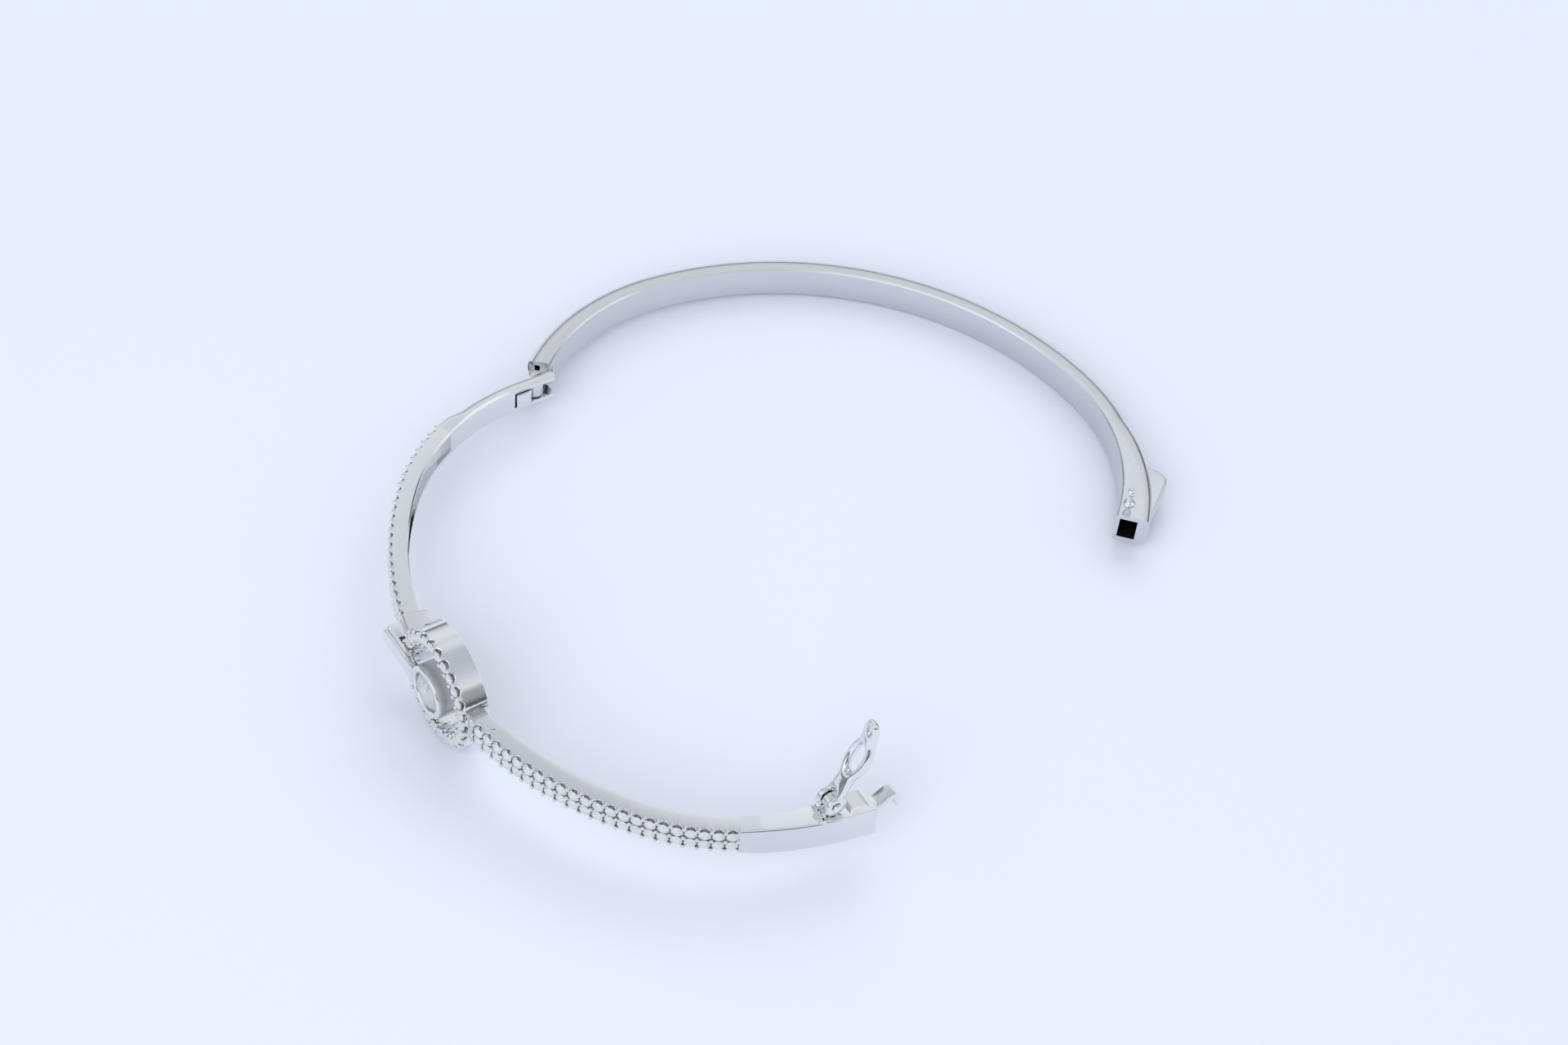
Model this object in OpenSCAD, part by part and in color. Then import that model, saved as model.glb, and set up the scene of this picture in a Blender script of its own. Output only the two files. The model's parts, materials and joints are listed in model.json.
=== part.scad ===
// Hinged oval bangle with a halo motif, lying open on its side edge.
// Units are mm and +Z is up. The hinge is at -X, the clasp at +X and the motif at -Y.

/* [Band] */
// clear length of the wrist opening, hinge to clasp
inner_l = 58; // [48:0.1:70]
// clear width of the wrist opening, motif to back
inner_w = 50.4; // [42:0.1:60.5]
// straight stretch of the sides, at the hinge and at the clasp
side_l = 3; // [2:0.1:6]
// width of the stone-set arms where they lie on the wrist
band_w = 3; // [2.8:0.1:4]
// width of the plain back band
back_w = 3.4; // [3:0.1:4.4]
// thickness of the plain back band
back_t = 2.5; // [2:0.05:3]
// band width at the stone-set outer face
face_w = 2.7; // [2.6:0.05:3.6]
// thickness of the front half
band_t = 1.8; // [1.5:0.05:2.4]

/* [Motif] */
// outer diameter of the halo ring
halo_d = 11.7; // [9.7:0.01:14.1]
// depth of the halo ring's wall
halo_h = 2.7; // [1.8:0.1:3.2]
// diameter of the centre stone
centre_d = 4; // [3:0.1:4.6]
// wall around the centre stone
cup_wall = 0.6; // [0.4:0.05:0.9]
// height of the centre stone's cup above the halo's face
cup_rise = 0.9; // [0.7:0.05:2]
// width of the bar that carries the cup
bar_w = 2; // [1.4:0.1:2.6]

/* [Small stones] */
// diameter of each small stone
stone_d = 1.12; // [0.9:0.01:1.14]
// spacing of the small stones
pitch = 1.225; // [1.15:0.01:1.5]
// stones in one row on the hinge side
n_a = 21; // [10:1:22]
// stones in one row on the clasp side
n_b = 22; // [10:1:22]

/* [Hinge] */
// how far the bangle stands open
open_deg = 43.4; // [20:1:50]
// diameter of the hinge pin
pin_d = 0.7; // [0.5:0.01:0.85]
// height of the hinge leaf
leaf_h = 1.6; // [1.2:0.1:1.7]

/* [Clasp] */
// thickness of the front half at the clasp
end_t = 2.8; // [2.6:0.1:3.4]
// thickness of the box on the back half
box_t = 3.15; // [2.9:0.05:3.8]
// width of the box's mouth, across the band's thickness
mouth_t = 1.75; // [1.4:0.05:2]
// height of the box's mouth
mouth_h = 2.4; // [2:0.1:2.6]
// how far the snap tongue reaches out of the end
tongue_l = 3.4; // [2.5:0.1:4]
// length of the safety catch, pivot to tip
catch_l = 9.3; // [8.6:0.1:12]
// how far the safety catch stands up
catch_deg = 68; // [0:1:100]

/* [Hidden] */
$fn = 24;
fine = 180;
ha = inner_l / 2;
hb = (inner_w - side_l) / 2;
hw = band_w / 2;
hf = face_w / 2;
end_share = 20.5 / 23.7;
r_end = hb * end_share;
cx_end = ha - r_end;
r_side = (cx_end * cx_end + hb * hb - r_end * r_end) / (2 * (hb - r_end));
cy_side = r_side - hb;
turn = atan2(cx_end, cy_side);
ro_side = r_side + band_t;
ro_end = r_end + band_t;
s_turn = ro_side * turn * PI / 180;
tiny = 0.01;
far = 60;

// lying pose: lean of the bangle on its halo, and the shift to the footprint centre
lean_x = -2.97;
lean_y = -1.64;
foot_x = 3.038;
foot_y = -12.689;
foot_z = 4.658;

// halo and cup
halo_r = halo_d / 2;
halo_face = hb + band_t + 0.1;
halo_rim = 0.15;
halo_wall = 1.55;
halo_in = halo_r - halo_wall;
halo_mid = (halo_r + halo_in) / 2;
n_halo = floor(2 * PI * halo_mid / (stone_d + 0.03));
groove_h = 0.55;
prong_r = 0.24;
prong_up = 0.2;
prong_root = 0.3;
cup_face = halo_face + cup_rise;
cup_r = centre_d / 2 + cup_wall;
cup_h = 2.4;
seat_gap = 0.02;
girdle_drop = 0.4;
girdle_h = 0.12;
crown_h = 0.55;
pavilion_h = 1.65;
bar_gap = 0.08;

// stone rows
row_z = 0.59;
rail = hf - row_z - stone_d / 2 - 0.02;
gallery_h = 0.75;
gallery_wall = 0.45;
bevel_r = 0.5;
s_a = halo_r + 2.3;
s_b = halo_r + 0.35;
e_a = s_a + n_a * pitch;
e_b = s_b + n_b * pitch;
ang_a = end_angle(e_a);
ang_b = end_angle(e_b);
small_up = 0.12;
small_girdle = 0.05;
small_pav = 0.42;

// hinge
px = -(ha + band_t * 0.54);
py = 1.9;
ear_y = py + 1.7;
hinge_reach = ear_y - py;
hinge_w = back_w - 0.2;
hinge_gap = 0.12;
heel = 1;
run_gap = 0.04;
slot_gap = 0.1;
eye_r = 0.82;
leaf_t = 1.3;
leaf_reach = hinge_reach + 1.2;

// clasp
meet_y = 1.1;
block_l = 5;
plain_w = back_w - 0.25;
mouth_x = ha + 0.35;
clasp_gap = 0.1;
swell_t = 5;
shoulder = 0.5;
arm_edge = 0.3;
block_edge = 0.15;
cavity_l = tongue_l + 1.1;
stub_l = 0.7;
stub_gap = 0.15;
leaf_end = tongue_l - stub_l;
fold_h = 1.02;
hook_h = 0.95;
tongue_w = mouth_t - 0.4;
tongue_x = mouth_x + mouth_t / 2;
box_deg = 32;
stud_y = meet_y + 1.95;
stud_x = ha + 0.85;
ball_r = 0.45;
neck_r = 0.25;
foot_r = 0.6;
thumb_w = 2.2;
thumb_r = box_t + 0.9;
stud_h = 1.5;

// safety catch
piv_y = meet_y - 3.7;
piv_z = back_w / 2 + 1.2;
lug_t = 0.8;
cheek_t = 0.45;
cheek_r = 0.8;
lug_r = cheek_r - 0.05;
head_t = 0.25;
head_r = 0.5;
catch_pin_r = 0.3;
side_gap = 0.08;
catch_t = 0.7;
sag = 0.5;
catch_w = lug_t + 2 * side_gap + 2 * cheek_t;
window_u = 4.95;
window_l = 3.1;
window_w = 1.15;
loop_w = 2.2;
tip_w = 1.3;

// angle on the end arc, from the side arc's direction, at length s along the outer face
function end_angle(s) = turn + (s - s_turn) / ro_end * 180 / PI;
// extra radius of an outer arc that thickens the end from b to t over g degrees
function grow_k(g, t, b) = (t - b) * (2 * r_end + t + b)
  / (2 * (r_end + b - (r_end + t) * cos(g)));

// the whole bangle leans on its halo
module lay() {
  translate([foot_x, foot_y, foot_z])
    rotate([lean_x, lean_y, 0])
      children();
}

// the back half swings about the hinge pin
module open_back() {
  translate([px, py, 0])
    rotate([0, 0, open_deg])
      translate([-px, -py, 0])
        children();
}

// the catch swings about its own pin: u runs along the lever, from the pivot
module raise_catch() {
  translate([stud_x, piv_y, piv_z])
    rotate([catch_deg, 0, 0])
      children();
}

// cross-section of the plain band: flat inside, round outside
module d_section(r, w, t) {
  rd = (w * w / 4 + t * t) / (2 * t);
  intersection() {
    translate([r + t - rd, 0])
      circle(r = rd, $fn = 48);
    translate([r, -w / 2])
      square([t, w]);
  }
}

// cross-section with sloping sides
module slope_section(r, w, f, t) {
  polygon([[r, -w / 2], [r + bevel_r, -w / 2], [r + t, -f / 2], [r + t, f / 2],
    [r + bevel_r, w / 2], [r, w / 2]]);
}

// cross-section of a stone-set arm: a stone channel outside and an open gallery inside
module pave_section(r) {
  difference() {
    slope_section(r, band_w, face_w, band_t);
    translate([r + band_t - groove_h, -hf + rail])
      square([groove_h + 1, face_w - 2 * rail]);
    translate([r - 1, -hw + gallery_wall])
      square([gallery_h + 1, band_w - 2 * gallery_wall]);
  }
}

// sweep a section along the side arc, a0 to a1 degrees from -Y towards +X
module side_sweep(a0, a1) {
  translate([0, cy_side, 0])
    rotate([0, 0, a0 - 90])
      rotate_extrude(angle = a1 - a0, $fn = fine)
        children();
}

// sweep a section along the end arc, a0 to a1 degrees from -Y towards +X
module end_sweep(a0, a1) {
  translate([cx_end, 0, 0])
    rotate([0, 0, a0 - 90])
      rotate_extrude(angle = a1 - a0, $fn = fine)
        children();
}

// place something on the outer face at length s from the middle of the front, -Y outwards
module on_face(s) {
  if (s <= s_turn)
    translate([0, cy_side, 0])
      rotate([0, 0, s / ro_side * 180 / PI])
        translate([0, -ro_side, 0])
          children();
  else
    translate([cx_end, 0, 0])
      rotate([0, 0, end_angle(s)])
        translate([0, -ro_end, 0])
          children();
}

// a small eight-sided stone whose table faces -Y
module small_stone() {
  rotate([90, 0, 0])
    rotate([0, 0, 22.5])
      union() {
        translate([0, 0, -small_girdle - small_pav])
          cylinder(h = small_pav, r1 = 0.05, r2 = stone_d / 2, $fn = 8);
        translate([0, 0, -small_girdle])
          cylinder(h = small_girdle + small_up, r1 = stone_d / 2, r2 = stone_d * 0.32, $fn = 8);
      }
}

// one bead that holds the stones
module prong() {
  rotate([90, 0, 0])
    translate([0, 0, -prong_root])
      cylinder(h = prong_root + prong_up, r = prong_r, $fn = 8);
}

module pave_side(s0) {
  side_sweep(s0 / ro_side * 180 / PI, turn)
    pave_section(r_side);
}

module pave_bend(a1) {
  end_sweep(turn, a1)
    pave_section(r_end);
}

module stone_row(s0, n, z) {
  for (i = [0 : n - 1])
    on_face(s0 + (i + 0.5) * pitch)
      translate([0, 0, z])
        small_stone();
}

module prong_rows(s0, n) {
  for (i = [1 : n - 1])
    on_face(s0 + i * pitch)
      for (z = [-1, 0, 1])
        translate([0, 0, z * (hf - prong_r * 0.45)])
          prong();
}

// ---- front half ----

module hinge_end() {
  color("Silver")
    lay() {
      mirror([1, 0, 0])
        end_sweep(ang_a, 90)
          d_section(r_end, hinge_w, band_t);
    }
}

// the two ears that hold the hinge pin, with the slot for the leaf between them
module hinge_ears() {
  color("Silver")
    lay()
      difference() {
        translate([0, ear_y, 0])
          rotate([90, 0, 0])
            linear_extrude(height = ear_y)
              mirror([1, 0, 0])
                d_section(ha, hinge_w, band_t);
        difference() {
          translate([px - 3, py, -far])
            cube([3, 3, 2 * far]);
          translate([px, py, -far])
            cylinder(h = 2 * far, r = hinge_reach, $fn = 96);
        }
        translate([px - 3, py - eye_r - slot_gap, -leaf_h / 2 - slot_gap])
          cube([6, 6, leaf_h + 2 * slot_gap]);
        translate([px, py, -far])
          cylinder(h = 2 * far, r = pin_d / 2);
      }
}

module pave_arm_a() {
  color("Silver")
    lay()
      mirror([1, 0, 0])
        pave_side(s_a);
}

module pave_bend_a() {
  color("Silver")
    lay()
      mirror([1, 0, 0])
        pave_bend(ang_a);
}

module pave_arm_b() {
  color("Silver")
    lay()
      pave_side(s_b);
}

module pave_bend_b() {
  color("Silver")
    lay()
      pave_bend(ang_b);
}

module connector_a() {
  color("Silver")
    lay()
      mirror([1, 0, 0])
        difference() {
          side_sweep(0, s_a / ro_side * 180 / PI)
            slope_section(r_side, band_w, band_w - 0.2, band_t);
          rotate([90, 0, 0])
            cylinder(h = far, r = halo_r, $fn = 96);
        }
}

module connector_b() {
  color("Silver")
    lay()
      difference() {
        side_sweep(0, s_b / ro_side * 180 / PI)
          slope_section(r_side, band_w, face_w, band_t);
        rotate([90, 0, 0])
          cylinder(h = far, r = halo_r, $fn = 96);
      }
}

module halo_ring() {
  color("Silver")
    lay()
      translate([0, -halo_face, 0])
        rotate([-90, 0, 0])
          rotate_extrude($fn = 96)
            difference() {
              translate([halo_in, 0])
                square([halo_r - halo_in, halo_h]);
              translate([halo_in + halo_rim, -1])
                square([halo_r - halo_in - 2 * halo_rim, groove_h + 1]);
            }
}

module halo_stones() {
  color("White")
    lay()
      for (i = [0 : n_halo - 1])
        translate([0, -halo_face, 0])
          rotate([0, (i + 0.5) * 360 / n_halo, 0])
            translate([halo_mid, 0, 0])
              small_stone();
}

module halo_prongs() {
  color("Silver")
    lay()
      for (i = [0 : n_halo - 1])
        translate([0, -halo_face, 0])
          rotate([0, i * 360 / n_halo, 0])
            for (r = [halo_in + prong_r * 0.55, halo_r - prong_r * 0.55])
              translate([r, 0, 0])
                prong();
}

module cup() {
  color("Silver")
    lay()
      translate([0, -cup_face, 0])
        rotate([-90, 0, 0])
          difference() {
            cylinder(h = cup_h, r = cup_r, $fn = 96);
            translate([0, 0, -1])
              cylinder(h = 1 + girdle_drop + girdle_h, r = centre_d / 2 + seat_gap, $fn = 64);
            translate([0, 0, girdle_drop + girdle_h - tiny])
              cylinder(h = pavilion_h, r1 = centre_d / 2 + seat_gap, r2 = 0.35, $fn = 64);
            translate([0, 0, -1])
              cylinder(h = cup_h + 2, r = centre_d * 0.25, $fn = 48);
          }
}

module cup_bar() {
  color("Silver")
    lay()
      difference() {
        union() {
          translate([-s_a + 0.3, -cup_face + 0.1, -bar_w / 2])
            cube([s_a - 0.3, cup_rise - prong_up - bar_gap - 0.1, bar_w]);
          translate([-s_a + 0.3, -cup_face + 0.1, -bar_w / 2])
            cube([s_a - halo_r - 0.5, cup_face - hb, bar_w]);
        }
        rotate([90, 0, 0])
          cylinder(h = far, r = cup_r, $fn = 96);
        translate([0, cy_side, -far])
          cylinder(h = 2 * far, r = ro_side, $fn = fine * 2);
      }
}

module centre_stone() {
  color("White")
    lay()
      translate([0, -cup_face + girdle_drop, 0])
        rotate([90, 0, 0])
          union() {
            translate([0, 0, -girdle_h - pavilion_h + 0.15])
              cylinder(h = pavilion_h - 0.15, r1 = 0.05, r2 = centre_d / 2 - 0.05, $fn = 12);
            translate([0, 0, -girdle_h])
              cylinder(h = girdle_h, r = centre_d / 2 - 0.02, $fn = 12);
            cylinder(h = crown_h, r1 = centre_d / 2 - 0.02, r2 = centre_d * 0.28, $fn = 12);
          }
}

module stones_a_upper() {
  color("White")
    lay()
      mirror([1, 0, 0])
        stone_row(s_a, n_a, row_z);
}

module stones_a_lower() {
  color("White")
    lay()
      mirror([1, 0, 0])
        stone_row(s_a, n_a, -row_z);
}

module stones_b_upper() {
  color("White")
    lay()
      stone_row(s_b, n_b, row_z);
}

module stones_b_lower() {
  color("White")
    lay()
      stone_row(s_b, n_b, -row_z);
}

module prongs_a() {
  color("Silver")
    lay()
      mirror([1, 0, 0])
        prong_rows(s_a, n_a);
}

module prongs_b() {
  color("Silver")
    lay()
      prong_rows(s_b, n_b);
}

module hinge_pin() {
  color("Gainsboro")
    lay()
      translate([px, py, -leaf_h / 2 - 0.4])
        cylinder(h = leaf_h + 0.8, r = pin_d / 2);
}

// thickened end: section swept about the outer arc's centre, hollowed by the wrist arc
module swelling(g, b, t, w, edge, end_y) {
  k = grow_k(g, t, b);
  ro = r_end + b + k;
  difference() {
    translate([cx_end - k * cos(g), k * sin(g), 0])
      rotate([0, 0, -g])
        rotate_extrude(angle = g + 10, $fn = fine * 2)
          polygon([[ro - swell_t, -w / 2], [ro - shoulder, -w / 2], [ro, -w / 2 + edge],
            [ro, w / 2 - edge], [ro - shoulder, w / 2], [ro - swell_t, w / 2]]);
    translate([cx_end, 0, -far])
      cylinder(h = 2 * far, r = r_end, $fn = fine * 2);
    translate([ha - 9, 0, -far])
      cube([9, far, 2 * far]);
    translate([0, end_y, -far])
      cube([far, far, 2 * far]);
    translate([cx_end, 0, -far])
      rotate([0, 0, -90 - g])
        cube([far, far, 2 * far]);
  }
}

module clasp_arm() {
  color("Silver")
    lay()
      difference() {
        swelling(90 - ang_b, band_t, end_t, plain_w, arm_edge, meet_y);
        translate([0, meet_y - block_l, -far])
          cube([far, far, 2 * far]);
      }
}

module clasp_block() {
  color("Silver")
    lay() {
      intersection() {
        swelling(90 - ang_b, band_t, end_t, back_w, block_edge, meet_y);
        translate([0, meet_y - block_l, -far])
          cube([far, far, 2 * far]);
      }
      translate([mouth_x + stub_gap, meet_y, -mouth_h / 2 + stub_gap])
        cube([mouth_t - 2 * stub_gap, stub_l, mouth_h - 2 * stub_gap]);
    }
}

module tongue() {
  color("Silver")
    lay()
      translate([tongue_x - tongue_w / 2, meet_y + stub_l + 0.05, 0])
        rotate([90, 0, 90])
          linear_extrude(height = tongue_w)
            polygon([[0, 0.1], [0.9, 0.35], [leaf_end - 1.1, fold_h],
              [leaf_end - 0.8, fold_h], [leaf_end, -0.3], [leaf_end - 0.2, -hook_h],
              [leaf_end - 0.45, -hook_h + 0.05], [leaf_end - 0.4, -0.3],
              [leaf_end - 1, fold_h - 0.4], [0.95, 0], [0, -0.25]]);
}

module catch_lug() {
  color("Silver")
    lay()
      translate([stud_x - lug_t / 2, piv_y, piv_z])
        rotate([0, 90, 0])
          difference() {
            union() {
              cylinder(h = lug_t, r = lug_r, $fn = 48);
              translate([0, -lug_r, 0])
                cube([piv_z - back_w / 2, 2 * lug_r, lug_t]);
            }
            translate([0, 0, -1])
              cylinder(h = lug_t + 2, r = catch_pin_r);
          }
}

module catch_pin() {
  color("Gainsboro")
    lay()
      translate([stud_x - catch_w / 2 - 0.3, piv_y, piv_z])
        rotate([0, 90, 0]) {
          cylinder(h = catch_w + 0.6, r = catch_pin_r);
          cylinder(h = head_t, r = head_r, $fn = 32);
          translate([0, 0, catch_w + 0.6 - head_t])
            cylinder(h = head_t, r = head_r, $fn = 32);
        }
}

// height of the lever's middle line above the pivot, at u along it
function dip(u) = -sag * sin(180 * min(max(u, 0), catch_l) / catch_l);

// side view of the lever between u0 and u1, cut through its whole width
module lever_side(u0, u1) {
  n = 14;
  translate([-5, 0, 0])
    rotate([90, 0, 90])
      linear_extrude(height = 10)
        polygon(concat(
          [for (i = [0 : n]) let (u = u0 + (u1 - u0) * i / n) [u, dip(u) + catch_t / 2]],
          [for (i = [n : -1 : 0]) let (u = u0 + (u1 - u0) * i / n) [u, dip(u) - catch_t / 2]]));
}

module catch_lever() {
  color("Silver")
    lay()
      raise_catch()
        difference() {
          union() {
            intersection() {
              lever_side(0, catch_l - 2.2);
              translate([0, 0, -5])
                linear_extrude(height = 10)
                  union() {
                    translate([-catch_w / 2, 0])
                      square([catch_w, 2.4]);
                    translate([-0.65, 2])
                      square([1.3, window_u - window_l / 2 - 1.5]);
                    translate([-loop_w / 2, window_u - window_l / 2])
                      square([loop_w, window_l]);
                    translate([0, window_u - window_l / 2])
                      circle(r = loop_w / 2, $fn = 32);
                    translate([0, window_u + window_l / 2])
                      circle(r = loop_w / 2, $fn = 32);
                  }
            }
            translate([-catch_w / 2, 0, 0])
              rotate([0, 90, 0])
                cylinder(h = catch_w, r = cheek_r, $fn = 48);
          }
          translate([-lug_t / 2 - side_gap, -2, -5])
            cube([lug_t + 2 * side_gap, 2 + cheek_r + 0.25, 10]);
          translate([-5, 0, 0])
            rotate([0, 90, 0])
              cylinder(h = 10, r = catch_pin_r + run_gap);
          translate([0, window_u, -5])
            linear_extrude(height = 10)
              union() {
                square([window_w, window_l - window_w], center = true);
                translate([0, -(window_l - window_w) / 2])
                  circle(r = window_w / 2, $fn = 24);
                translate([0, (window_l - window_w) / 2])
                  circle(r = window_w / 2, $fn = 24);
              }
        }
}

module catch_tip() {
  color("Silver")
    lay()
      raise_catch()
        difference() {
          intersection() {
            lever_side(catch_l - 2.2, catch_l);
            translate([0, 0, -5])
              linear_extrude(height = 10)
                union() {
                  translate([-tip_w / 2, catch_l - 2.2])
                    square([tip_w, 2.2 - tip_w / 2]);
                  translate([0, catch_l - tip_w / 2])
                    circle(r = tip_w / 2, $fn = 32);
                }
          }
          translate([0, catch_l - 0.9, -5])
            cylinder(h = 10, r = 0.3);
        }
}

// ---- back half ----

module back_bend_hinge() {
  color("Silver")
    lay()
      open_back()
        difference() {
          translate([0, side_l, 0])
            rotate([0, 0, 180])
              end_sweep(turn, 90)
                d_section(r_end, back_w, back_t);
          translate([-far, -far, -far])
            cube([far, far + ear_y + hinge_gap, 2 * far]);
          translate([-ha - back_t, ear_y + hinge_gap, 0])
            rotate([0, 0, 45])
              cube([heel, heel, 2 * far], center = true);
          translate([px, py, -leaf_h / 2])
            cylinder(h = leaf_h, r = leaf_reach, $fn = 64);
        }
}

module back_band() {
  color("Silver")
    lay()
      open_back()
        translate([0, side_l, 0])
          mirror([0, 1, 0])
            side_sweep(-turn, turn)
              d_section(r_side, back_w, back_t);
}

module back_bend_clasp() {
  color("Silver")
    lay()
      open_back()
        translate([0, side_l, 0])
          mirror([0, 1, 0])
            end_sweep(turn, 90 - box_deg)
              d_section(r_end, back_w, back_t);
}

module hinge_leaf() {
  color("Silver")
    lay()
      open_back()
        difference() {
          union() {
            translate([px, py, -leaf_h / 2])
              cylinder(h = leaf_h, r = eye_r, $fn = 64);
            intersection() {
              translate([px - leaf_t / 2, py, -leaf_h / 2])
                cube([leaf_t, 4, leaf_h]);
              translate([px, py, -leaf_h / 2])
                cylinder(h = leaf_h, r = leaf_reach, $fn = 64);
            }
          }
          translate([px, py, -far])
            cylinder(h = 2 * far, r = pin_d / 2 + run_gap);
        }
}

module clasp_box() {
  color("Silver")
    lay()
      open_back()
        difference() {
          translate([0, side_l, 0])
            mirror([0, 1, 0])
              swelling(box_deg, back_t, box_t, back_w, arm_edge, side_l - meet_y - clasp_gap);
          translate([mouth_x, meet_y - 1, -mouth_h / 2])
            cube([mouth_t, cavity_l + 1, mouth_h]);
        }
}

module thumb_plate() {
  k = grow_k(box_deg, box_t, back_t);
  color("Silver")
    lay()
      open_back()
        difference() {
          translate([0, 0, -thumb_w / 2])
            linear_extrude(height = thumb_w)
              translate([ha, meet_y + clasp_gap])
                polygon([[-1.5, 0.5], [box_t - 0.05, 0.5], [thumb_r - 0.1, 5.9], [thumb_r, 6.5],
                  [thumb_r - 0.1, 7], [thumb_r - 0.45, 7.4], [thumb_r - 1.05, 7.7],
                  [thumb_r - 1.85, 7.9], [-1.5, 8.1]]);
          translate([cx_end - k * cos(box_deg), side_l - k * sin(box_deg), -far])
            cylinder(h = 2 * far, r = r_end + back_t + k, $fn = fine * 2);
        }
}

module ball_stud() {
  color("Silver")
    lay()
      open_back()
        translate([stud_x, stud_y, back_w / 2]) {
          cylinder(h = 0.1, r = foot_r);
          cylinder(h = stud_h, r = neck_r);
          translate([0, 0, stud_h])
            sphere(r = ball_r);
        }
}

hinge_end();
hinge_ears();
pave_arm_a();
pave_bend_a();
pave_arm_b();
pave_bend_b();
clasp_arm();
clasp_block();
connector_a();
connector_b();
halo_ring();
halo_stones();
halo_prongs();
cup();
cup_bar();
centre_stone();
stones_a_upper();
stones_a_lower();
stones_b_upper();
stones_b_lower();
prongs_a();
prongs_b();
hinge_pin();
tongue();
catch_lug();
catch_pin();
catch_lever();
catch_tip();
back_bend_hinge();
back_band();
back_bend_clasp();
hinge_leaf();
clasp_box();
thumb_plate();
ball_stud();
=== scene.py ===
"""Looks for the hinged oval bangle: polished silver, small set stones and a cup-set centre stone."""
import json
import math

import bmesh
import bpy
from mathutils import Matrix, Vector


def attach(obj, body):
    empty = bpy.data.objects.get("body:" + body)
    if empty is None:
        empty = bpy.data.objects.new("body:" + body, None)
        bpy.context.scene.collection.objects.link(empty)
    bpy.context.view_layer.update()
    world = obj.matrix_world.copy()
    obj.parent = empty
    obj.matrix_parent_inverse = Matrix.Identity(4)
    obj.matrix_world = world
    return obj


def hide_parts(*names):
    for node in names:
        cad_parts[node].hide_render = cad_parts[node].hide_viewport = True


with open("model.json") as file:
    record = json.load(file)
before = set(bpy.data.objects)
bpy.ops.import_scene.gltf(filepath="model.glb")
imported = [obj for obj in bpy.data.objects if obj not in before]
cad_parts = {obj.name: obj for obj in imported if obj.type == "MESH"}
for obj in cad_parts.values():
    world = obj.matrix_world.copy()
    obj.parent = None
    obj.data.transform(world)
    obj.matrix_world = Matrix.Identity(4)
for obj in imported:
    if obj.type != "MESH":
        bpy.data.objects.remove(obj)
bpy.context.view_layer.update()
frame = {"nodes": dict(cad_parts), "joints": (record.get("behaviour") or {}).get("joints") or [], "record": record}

# ---- the part's own sizes, in mm ----
INNER_L, INNER_W, SIDE_L = 58.0, 50.4, 3.0
BAND_W, BACK_W, FACE_W, BAND_T, BACK_T = 3.0, 3.4, 2.7, 1.8, 2.5
HALO_R, HALO_H, HALO_BAND = 5.85, 2.7, 1.55
CENTRE_D, CUP_WALL, CUP_RISE, CUP_H, BAR_W = 4.0, 0.6, 0.9, 2.4, 2.0
STONE_D, PITCH, N_A, N_B, ROW_Z = 1.12, 1.225, 21, 22, 0.59
GROOVE, CONNECT = 0.4, 4.8
LEAF_H, EYE_R, PIN_R, EAR_UP = 1.6, 0.82, 0.35, 1.7
END_T, BOX_T, MOUTH_T, MOUTH_H, MOUTH_IN = 2.8, 3.15, 1.75, 2.4, 0.35
MEET_Y, BLOCK_L, BOX_DEG = 1.1, 5.0, 32.0
CATCH_L, LUG_T, CHEEK_T, CHEEK_R, SIDE_GAP = 9.3, 0.8, 0.45, 0.8, 0.08
STUD_UP, BALL_R, STUD_FROM_END, STUD_IN = 1.5, 0.45, 1.95, 0.85
FAR = 40  # a drill's length, past the whole bangle
TONGUE_L, STUB_L, STUB_GAP = 3.4, 0.7, 0.15
LEAF_HALF, FIN_HALF, PLATE_HALF, PIN_GAP, MEET_GAP = 0.62, 1.1, 0.82, 0.04, 0.1

HA = INNER_L / 2
HB = (INNER_W - SIDE_L) / 2
R_END = HB * 20.5 / 23.7
CX = HA - R_END
R_SIDE = (CX * CX + HB * HB - R_END * R_END) / (2 * (HB - R_END))
CY = R_SIDE - HB
TURN = math.atan2(CX, CY)
RO_SIDE, RO_END = R_SIDE + BAND_T, R_END + BAND_T
S_TURN = RO_SIDE * TURN
S_SIDE = S_TURN + RO_END * (math.pi / 2 - TURN)
HALO_FACE = HB + BAND_T + 0.1
CUP_FACE = HALO_FACE + CUP_RISE
S_A, S_B = HALO_R + 2.3, HALO_R + 0.35
E_A, E_B = S_A + N_A * PITCH, S_B + N_B * PITCH

# ---- the part's own axes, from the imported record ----
joints = {j["name"]: j for j in frame["joints"]}
x_axis = Vector(joints["catch_pivot"]["axis"]).normalized()
z_axis = Vector(joints["main_hinge"]["axis"]).normalized()
y_axis = z_axis.cross(x_axis).normalized()
centre = Vector(frame["record"]["mounts"][0]["pos_m"])
turned = Matrix((x_axis, y_axis, z_axis)).transposed().to_4x4()
ROW = Matrix.Translation(centre) @ turned @ Matrix.Scale(0.001, 4)


def in_mm(point):
    """A point of the row frame, in the bangle's own axes and in mm."""
    return ROW.inverted() @ Vector(point)


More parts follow.
